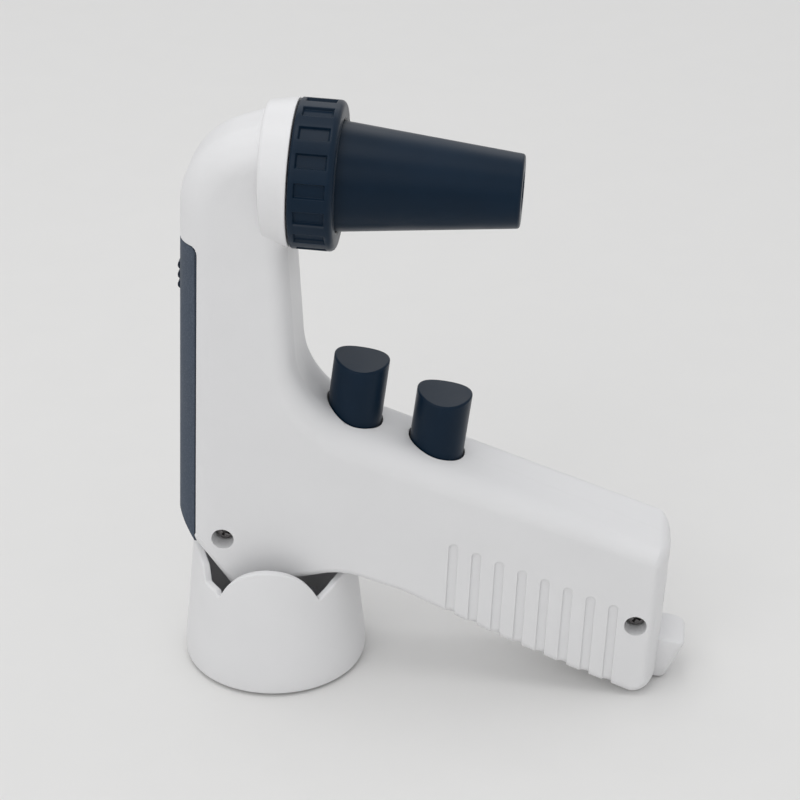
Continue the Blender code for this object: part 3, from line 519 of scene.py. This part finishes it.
def shell_tools(side):
    tools = []
    for name in SCREWS:
        if side < 0:
            rows = [(BORE_R, -HALF - 1), (BORE_R, -SHOULDER_Y), (HOLE_R, -SHOULDER_Y), (HOLE_R, 1)]
        else:
            rows = [(HOLE_R, -1), (HOLE_R, 9)]
        tools.append(raw("bore", lathe(rows, 64, ring=False), screw_place(name)))
    tools.append(raw("panel_seat", panel(SPINE_R + 3, SPINE_R - PANEL_T - GAP, PANEL_WRAP + 2.2,
                                         PANEL_TOP + PANEL_SEAM, 4.0, corner=PANEL_CORNER)))
    tools.append(raw("mount_hole", lathe([(MOUNT_HOLE_R, -2.5), (MOUNT_HOLE_R, 4.0)], 64, ring=False), NOSE))
    tools.append(slot_tool("slot"))
    seat = plate_outline(FLAP_HALF_Y + FLAP_SEAM, FLAP_LOW - FLAP_SEAM, FLAP_HIGH + FLAP_SEAM, 1.3)
    depths = (end_x(SOCKET_Z) - FLAP_T - GAP, end_x(SOCKET_Z) + 4)
    tools.append(raw("flap_seat", tube_of([[(x, y, z) for y, z in seat] for x in depths])))
    tools.append(raw("socket_hole", box(96, 104, -SOCKET_HALF_Y, SOCKET_HALF_Y,
                                        SOCKET_Z - SOCKET_HALF_Z, SOCKET_Z + SOCKET_HALF_Z)))
    for name in BUTTON_TOPS:
        tools.append(raw("button_hole", lathe([(BUTTON_HOLE_R, -8), (BUTTON_HOLE_R, 8)], 96, ring=False),
                         button_place(name)))
    for k in range(GROOVES):
        gx = GROOVE_X + GROOVE_PITCH * k
        tools.append(raw("groove", groove(gx, GROOVE_TOP + GROOVE_DROP * (gx - GROOVE_X), side)))
    return tools


for side, shell_name in ((-1, "right_shell"), (1, "left_shell")):
    shell = raw(f"{shell_name}_fine", half_shell(side))
    ends = sorted((side * GAP / 2, side * (HALF - 1)))
    bosses = [raw("boss", lathe([(BOSS_R, ends[0]), (BOSS_R, ends[1])], 48, ring=False), screw_place(name))
              for name in SCREWS]
    carve(shell, bosses, "UNION")
    tools = shell_tools(side)
    carve(shell, tools)
    for tool in bosses + tools:
        bpy.data.objects.remove(tool, do_unlink=True)
    dress(shell, "white_plastic", "housing", [shell_name], bevel=0.12, segments=2, angle=40, seam=NO_BEVEL)

back = raw("back_panel_fine", panel(SPINE_R, SPINE_R - PANEL_T, PANEL_WRAP, PANEL_TOP, -0.15,
                                      corner=PANEL_CORNER))
tool = slot_tool("slot")
carve(back, [tool])
bpy.data.objects.remove(tool, do_unlink=True)
dress(back, "slate_panel", "housing", ["back_panel"], bevel=0.2, angle=40)

knob, plate, rib_x, plate_half = -25.2, -21.9, -26.45, 8.5
ribs = []
for centre in (2.7, 0.0, -2.7):
    ribs += [(knob, centre + 1.1), (rib_x + 0.45, centre + 1.0), (rib_x + 0.12, centre + 0.65),
             (rib_x, centre + 0.2), (rib_x, centre - 0.2), (rib_x + 0.12, centre - 0.65),
             (rib_x + 0.45, centre - 1.0), (knob, centre - 1.1)]
outline = ([(plate + 1.0, -plate_half), (plate + 1.0, plate_half), (plate, plate_half), (plate, KNOB_HALF),
            (knob, KNOB_HALF)] + ribs + [(knob, -KNOB_HALF), (plate, -KNOB_HALF), (plate, -plate_half)])
dress(raw("speed_slider_fine", prism([(x, z + SLIDER_Z) for x, z in outline],
                                       -KNOB_HALF_Y, KNOB_HALF_Y)),
      "navy_plastic", "slider", ["speed_slider"], bevel=0.12)

# ------------------------------------------------------------------ ring, nose cone, adapter, collar
ROUND = [math.radians(a) for a in (0, 22.5, 45, 67.5, 90)]
EASE = RING_ROUND
dress(raw("head_ring_fine", lathe(
    [(RING_REAR_R - EASE + EASE * math.sin(a), RING_REAR_X + EASE - EASE * math.cos(a)) for a in ROUND]
    + [(RING_FRONT_R, RING_FRONT_X - 0.4), (RING_FRONT_R - 0.12, RING_FRONT_X - 0.12),
       (RING_FRONT_R - 0.4, RING_FRONT_X), (RING_BORE, RING_FRONT_X), (RING_BORE, RING_REAR_X)], 160,
    shape=slanted((0, 1, 2, 3, 4, 9))), NOSE), "white_plastic", "housing", ["head_ring"])
dress(raw("nose_cone_fine", lathe(
    [(11.3, 9.3), (14.9, 9.3), (14.9, 11.1), (13.6, 11.1), (13.55, 13.4)]
    + [(TIP_R - 0.8 + 0.85 * math.cos(a), TIP_X - 0.85 + 0.85 * math.sin(a)) for a in ROUND]
    + [(TIP_BORE + 0.4 - 0.4 * math.sin(a), TIP_X - 0.4 + 0.4 * math.cos(a)) for a in ROUND]
    + [(TIP_BORE, 50.5), (6.6, 48.5), (11.3, 14.8)], 160), NOSE), "navy_plastic", "nose", ["nose_cone"])
dress(raw("pipette_adapter_fine", lathe(
    [(2.9, 9.3), (10.9, 9.3), (10.9, 14.5), (6.3, 46.0), (6.0, 47.1), (5.2, 47.5), (4.6, 47.3), (4.3, 46.6),
     (3.3, 38.0), (3.3, 30.0), (2.9, 24.0)], 96), NOSE), "silicone", "nose", ["pipette_adapter"])


def collar():
    x = COLLAR_REAR
    end = x + COLLAR_LENGTH
    rows = [(COLLAR_R - 0.6, x), (COLLAR_R - 0.17, x + 0.17), (COLLAR_R, x + 0.6), (COLLAR_R, x + 1.5),
            (COLLAR_R, x + 1.8), (COLLAR_R, end - 2.2), (COLLAR_R, end - 1.9), (COLLAR_R, end - 1.4)]
    rows += [(COLLAR_R - 1.5 + 1.5 * math.cos(a), end - 1.4 + 1.4 * math.sin(a)) for a in ROUND[1:]]
    rows += [(14.4, end), (13.9, end - 0.4), (13.9, end - 2.0), (COLLAR_BORE, end - 2.0),
             (COLLAR_BORE, x + 0.5), (COLLAR_BORE + 0.4, x)]
    pitch, sunk, angles = 360 / POCKETS, set(), []
    for k in range(POCKETS):
        for degrees in (-8.5, -POCKET_HALF_DEG - 0.8, -POCKET_HALF_DEG, -2.5, 0, 2.5, POCKET_HALF_DEG,
                        POCKET_HALF_DEG + 0.8, 8.5):
            a = math.radians((k + 0.5) * pitch + degrees)
            angles.append(a)
            if abs(degrees) <= POCKET_HALF_DEG:
                sunk.add(a)
    return lathe(rows, angles=angles,
                 shape=lambda k, a, r, z: (r - POCKET_DEPTH if k in (4, 5) and a in sunk else r, z))


dress(raw("collar_nut_fine", collar(), NOSE), "navy_plastic", "collar", ["collar_nut"], bevel=0.15,
      segments=3, angle=30)

# ------------------------------------------------------------------ buttons
FLANGE_TOP, FLANGE_T, FLANGE_R = -4.4, 1.6, 8.5


def button(rise, n=96):
    angles = [math.pi * (i + 0.5) * 2 / n for i in range(n)]

    def top(x):
        return rise - DISH * (1 - (x / BUTTON_R) ** 2)

    rows = []
    for r, z in ((FLANGE_R, FLANGE_TOP - FLANGE_T), (FLANGE_R, FLANGE_TOP), (BUTTON_R, FLANGE_TOP)):
        rows.append([(r * math.cos(a), r * math.sin(a), z) for a in angles])
    for lift in (0, 15, 30, 45, 60, 75, 90):
        b = math.radians(lift)
        r, drop = BUTTON_R - EDGE_ROUND * (1 - math.cos(b)), EDGE_ROUND * (1 - math.sin(b))
        rows.append([(r * math.cos(a), r * math.sin(a), top(r * math.cos(a)) - drop) for a in angles])
    points, faces = tube_of(rows)
    faces.pop()
    last = (len(rows) - 1) * n
    for i in range(n // 2 - 1):
        faces.append((last + i, last + i + 1, last + n - 2 - i, last + n - 1 - i))
    return points, faces


for name in BUTTON_TOPS:
    rise = button_base(name)[2] + DISH / 2
    dress(raw(f"{name}_button_fine", button(rise), button_place(name)), "navy_plastic", f"{name}_key",
          [f"{name}_button"], smooth=50)

# ------------------------------------------------------------------ screws, flap, hook
for name in SCREWS:
    screw = raw(f"{name}_screw_fine",
                lathe([(0.9, 7.4), (1.25, 7.0), (1.25, -SHOULDER_Y - GAP), (2.55, -SHOULDER_Y - GAP),
                       (2.55, -8.3), (2.45, -8.6), (2.2, -8.8), (1.8, -8.9)], 48, ring=False),
                screw_place(name))
    slots = [raw("cross", box(-1.5, 1.5, -0.36, 0.36, -9.2, -7.9),
                 screw_place(name) @ Matrix.Rotation(math.radians(turn), 4, "Z")) for turn in (25, 115)]
    carve(screw, slots)
    for tool in slots:
        bpy.data.objects.remove(tool, do_unlink=True)
    dress(screw, "steel", "housing", [f"{name}_screw"], look="dark_steel")


def crown(y):
    reach = max(abs(y) - (HALF - END_CROWN), 0.0) / END_CROWN
    return END["near"] * (1 - math.sqrt(1 - reach * reach))


# The flap's face is a patch of the crowned end: nested rings of its outline, closed at the middle line.
def flap_mesh():
    face = end_x(SOCKET_Z)
    rows = [[(face - FLAP_T, y, z) for y, z in plate_outline(FLAP_HALF_Y, FLAP_LOW, FLAP_HIGH, 1.2)]]
    for inset in (0.0, 0.5, 1.5, 2.5, 3.5, 4.5, 5.5):
        outline = plate_outline(FLAP_HALF_Y - inset, FLAP_LOW + min(inset, 5.5), FLAP_HIGH - min(inset, 5.5),
                                max(1.2 - inset, 0.2))
        rows.append([(face - crown(y), y, z) for y, z in outline])
    return tube_of(rows)


dress(raw("port_flap_fine", flap_mesh()), "white_plastic", "flap", ["port_flap"], bevel=0.12)

HOOK = [(0.0, 107.9, 6.1), (0.35, 108.5, 6.4), (1.4, 108.8, 6.4), (3.2, 108.3, 6.2), (7.6, 106.9, 5.3),
        (12.0, 105.4, 4.3), (13.9, 104.7, 3.8)]
HOOK_TOP, HOOK_FALL, HOOK_FADE, HOOK_EASE_X, HOOK_EASE_Y = 18.3, 0.17, 3.2, 2.2, 2.0
hook_root = end_x(HOOK_TOP - HOOK[-1][0] / 2) - HOOK_SUNK
rows = []
for drop, front, w in HOOK:
    plan = [(hook_root - crown(y), y) for y in (w * (1 - k / 4) for k in range(9))]
    plan += [(front - HOOK_EASE_X, -w)]
    plan += [(front - HOOK_EASE_X * (1 - math.sin(b)), -w + HOOK_EASE_Y * (1 - math.cos(b)))
             for b in ROUND[1:]]
    plan += [(x, -y) for x, y in plan[:8:-1]]
    fall = HOOK_FALL * max(1 - drop / HOOK_FADE, 0.0)
    rows.append([(x, y, HOOK_TOP - drop - fall * (x - END_X)) for x, y in plan])
dress(raw("grip_hook_fine", tube_of(rows)), "white_plastic", "housing", ["grip_hook"], bevel=0.2,
      segments=3, angle=30)


# ------------------------------------------------------------------ stand
def rim_height(degrees):
    d = abs(degrees)
    if d <= RIM_AWAY[-1][0]:
        return along(RIM_AWAY, d)
    if d >= RIM_BACK[0][0]:
        return along(RIM_BACK, d)
    arc = math.radians(d - PETAL_AT) * along(CUP_OUTSIDE, 30.0)
    return max(PETAL_TOP - PETAL_R + math.sqrt(max(PETAL_R ** 2 - arc ** 2, 0.0)), RIM_AWAY[-1][1])


def housing_low(x):
    z = 32.0
    for _ in range(4):
        own_x = x * math.cos(LEAN) - z * math.sin(LEAN)
        own_z = underside_z(own_x) if own_x > -9 else max(chamfer_z(own_x), underside_z(-9))
        z = -own_x * math.sin(LEAN) + own_z * math.cos(LEAN)
    return z


def clear_rim(degrees, outside_r):
    wanted = rim_height(degrees)
    a = math.radians(degrees)
    for r in (outside_r + 0.3, outside_r - CUP_WALL - 0.3):
        if abs(r * math.sin(a)) < HALF + 0.6:
            wanted = min(wanted, housing_low(r * math.cos(a)) - 0.5)
    return wanted


def cup(step=1.5):
    marks = sorted({-180 + step * k for k in range(1, int(360 / step) + 1)}
                   | {s * d for s in (-1, 1) for d in (47.6, 126.0, 137.0, 143.0)})
    columns = []
    for degrees in marks:
        a = math.radians(degrees)
        top = clear_rim(degrees, along(CUP_OUTSIDE, rim_height(degrees)))
        column = [(22.0, 2.3), (22.0, 0.8), (23.4, 0.8), (23.8, 1.0)]
        heights = [1.4, 3.0, 5.0, 8.0, 11.5, 14.5, 18.0, 22.0]
        heights += [22.0 + (top - 22.0) * f for f in (0.3, 0.6, 0.85)]
        column += [(along(CUP_OUTSIDE, z), z) for z in heights + [top - 0.5]]
        rim = along(CUP_OUTSIDE, top)
        column += [(rim - 0.5 + 0.5 * math.cos(b), top - 0.5 + 0.5 * math.sin(b)) for b in ROUND[1:]]
        column += [(rim - CUP_WALL + 0.5 - 0.5 * math.sin(b), top - 0.5 + 0.5 * math.cos(b)) for b in ROUND]
        column += [(along(CUP_OUTSIDE, z) - CUP_WALL, z) for z in (22.0, 14.5, CUP_FLOOR + 1.5)]
        column += [(along(CUP_OUTSIDE, CUP_FLOOR) - CUP_WALL - 0.5, CUP_FLOOR + 0.4),
                   (along(CUP_OUTSIDE, CUP_FLOOR) - CUP_WALL - 1.5, CUP_FLOOR)]
        columns.append([(r * math.cos(a), r * math.sin(a), z) for r, z in column])
    return tube_of([list(row) for row in zip(*columns)])


dress(raw("stand_cup_fine", cup(), STILL), "white_plastic", "stand", ["stand_cup"], smooth=60)
dress(raw("stand_foot_fine", lathe([(FOOT_R - 0.3, 0), (FOOT_R - 0.09, 0.09), (FOOT_R, 0.3), (FOOT_R, 2.0)],
                                   128, ring=False), STILL), "black_rubber", "stand", ["stand_foot"])

# ------------------------------------------------------------------ CAD nodes that stay get their finish
slots = {part["node"]: part["material_slot"] for part in frame["record"]["subparts"]}
for name, obj in frame["nodes"].items():
    obj.data.materials.clear()
    obj.data.materials.append(LOOKS[slots[name]])

# ------------------------------------------------------------------ floor, light, camera
floor_mesh = bpy.data.meshes.new("floor")
reach = 6.0
floor_mesh.from_pydata([(-reach, -reach, 0), (reach, -reach, 0), (reach, reach, 0), (-reach, reach, 0)], [],
                       [(0, 1, 2, 3)])
floor = bpy.data.objects.new("floor", floor_mesh)
bpy.context.scene.collection.objects.link(floor)
floor_mesh.materials.append(finish("paper_floor", (0.770, 0.766, 0.756), 0.75, vary=0.006, grain=400.0,
                                   bump=0.02, specular=0.25))

world = bpy.data.worlds.new("studio")
bpy.context.scene.world = world
world.use_nodes = True
sky = world.node_tree
direction = sky.nodes.new("ShaderNodeTexCoord")
height = sky.nodes.new("ShaderNodeSeparateXYZ")
tone = sky.nodes.new("ShaderNodeValToRGB")
tone.color_ramp.elements[0].position, tone.color_ramp.elements[0].color = 0.0, (0.60, 0.60, 0.60, 1)
tone.color_ramp.elements[1].position, tone.color_ramp.elements[1].color = 1.0, (0.86, 0.865, 0.88, 1)
sky.links.new(direction.outputs["Generated"], height.inputs["Vector"])
sky.links.new(height.outputs["Z"], tone.inputs["Fac"])
sky.links.new(tone.outputs["Color"], sky.nodes["Background"].inputs["Color"])
sky.nodes["Background"].inputs["Strength"].default_value = 0.94


def softbox(name, at, aim, size, power, color=(1, 1, 1)):
    light = bpy.data.lights.new(name, "AREA")
    light.shape = "RECTANGLE"
    light.size, light.size_y = size
    light.energy = power
    light.color = color
    obj = bpy.data.objects.new(name, light)
    bpy.context.scene.collection.objects.link(obj)
    obj.location = at
    obj.rotation_euler = (Vector(aim) - Vector(at)).to_track_quat("-Z", "Y").to_euler()
    return obj


softbox("ceiling", (-0.15, -0.05, 1.35), (0.04, 0, 0.08), (0.8, 0.6), 3.3, (1.0, 0.995, 0.98))
softbox("back", (0.0, 1.2, 0.95), (0.04, 0, 0.08), (1.4, 0.7), 2.7).visible_diffuse = False
softbox("front", (-0.35, -1.1, 0.9), (0.04, 0, 0.06), (1.0, 0.8), 3.0)

CAMERA_AT, CAMERA_AIM = Vector((0.09267, -0.57206, 0.40613)), Vector((0.033307, 0.0, 0.078314))
ROLL, FOCAL = math.radians(0.309), 117.0
forward = (CAMERA_AIM - CAMERA_AT).normalized()
level = Vector((forward.y, -forward.x, 0)).normalized()
above = level.cross(forward)
right = level * math.cos(ROLL) + above * math.sin(ROLL)
up = above * math.cos(ROLL) - level * math.sin(ROLL)
camera_data = bpy.data.cameras.new("camera")
camera_data.lens, camera_data.sensor_width = FOCAL, 36.0
camera_data.clip_start, camera_data.clip_end = 0.01, 30.0
camera = bpy.data.objects.new("camera", camera_data)
bpy.context.scene.collection.objects.link(camera)
turn = Matrix((right, up, -forward)).transposed().to_4x4()
camera.matrix_world = Matrix.Translation(CAMERA_AT) @ turn
bpy.context.scene.camera = camera
bpy.context.scene.view_settings.view_transform = "Standard"
